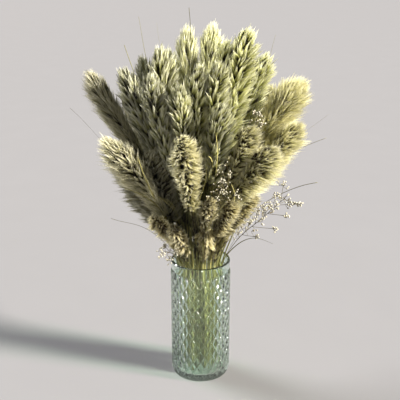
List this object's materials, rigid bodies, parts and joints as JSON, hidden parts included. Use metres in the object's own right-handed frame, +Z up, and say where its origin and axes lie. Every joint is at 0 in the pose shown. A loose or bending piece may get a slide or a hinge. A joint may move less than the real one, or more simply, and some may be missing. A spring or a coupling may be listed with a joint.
{
  "type": "vase of dried grasses",
  "caption": "Dried grass plumes, reed heads, bud sprays and thin arching blades standing in a cylinder vase of pressed clear glass.",
  "frame": {"origin": "centre of the vase's flat base", "axes": "+Z up along the vase; -Y towards the viewer of the picture, +X to their right"},
  "size_m": [0.4711, 0.3894, 0.728],
  "materials": {
    "pressed_glass": "clear pressed glass with a faint green tint, fire-polished",
    "plume_hair": "dried straw-coloured hair, soft and matte",
    "reed_spikelets": "dried papery spikelets, greenish cream, slightly silky",
    "tail_hair": "dried golden hair, soft and matte",
    "grass_blade": "dried olive grass blade, dull",
    "spray_buds": "dried papery buds, pinkish cream, on olive twigs"
  },
  "bodies": {
    "root": {"vase": "pressed_glass", "plume_left_high": "plume_hair", "plume_left_mid": "plume_hair", "plume_left_mid_back": "plume_hair", "plume_left_low": "plume_hair", "plume_inner_left": "plume_hair", "plume_inner_right": "plume_hair", "plume_front": "plume_hair", "plume_right_high": "plume_hair", "plume_right_mid": "plume_hair", "plume_right_front": "plume_hair", "plume_right_inner": "plume_hair", "tail_right_low": "tail_hair", "tail_front_low": "tail_hair", "tail_front_low_right": "tail_hair", "tail_rim_front": "tail_hair", "tail_rim_left": "tail_hair", "tail_rim_left_front": "tail_hair", "reed_top_left": "reed_spikelets", "reed_crown_left": "reed_spikelets", "reed_shoulder_left": "reed_spikelets", "reed_outer_left": "reed_spikelets", "reed_top_middle": "reed_spikelets", "reed_crown_middle": "reed_spikelets", "reed_top_right": "reed_spikelets", "reed_front_right": "reed_spikelets", "reed_front_middle": "reed_spikelets", "reed_front_left": "reed_spikelets", "reed_inner_left": "reed_spikelets", "reed_shoulder_right": "reed_spikelets", "reed_middle": "reed_spikelets", "plume_back_left_high": "plume_hair", "plume_back_left": "plume_hair", "plume_back": "plume_hair", "plume_back_right": "plume_hair", "plume_back_right_low": "plume_hair", "reed_back_left": "reed_spikelets", "reed_back_right": "reed_spikelets", "plume_back_inner": "plume_hair", "plume_back_right_high": "plume_hair", "tail_back_low_left": "tail_hair", "tail_back_low_right": "tail_hair", "blade_right_long": "grass_blade", "blade_right_upper": "grass_blade", "blade_right_level": "grass_blade", "blade_right_low": "grass_blade", "blade_left_top": "grass_blade", "blade_left_inner": "grass_blade", "blade_left_shoulder": "grass_blade", "blade_top": "grass_blade", "blade_left_long": "grass_blade", "blade_left_low": "grass_blade", "blade_top_right": "grass_blade", "blade_back_left": "grass_blade", "blade_back_right": "grass_blade", "spray_right": "spray_buds", "spray_right_high": "spray_buds", "spray_front": "spray_buds", "spray_rim_left": "spray_buds", "spray_back": "spray_buds"}
  },
  "joints": []
}
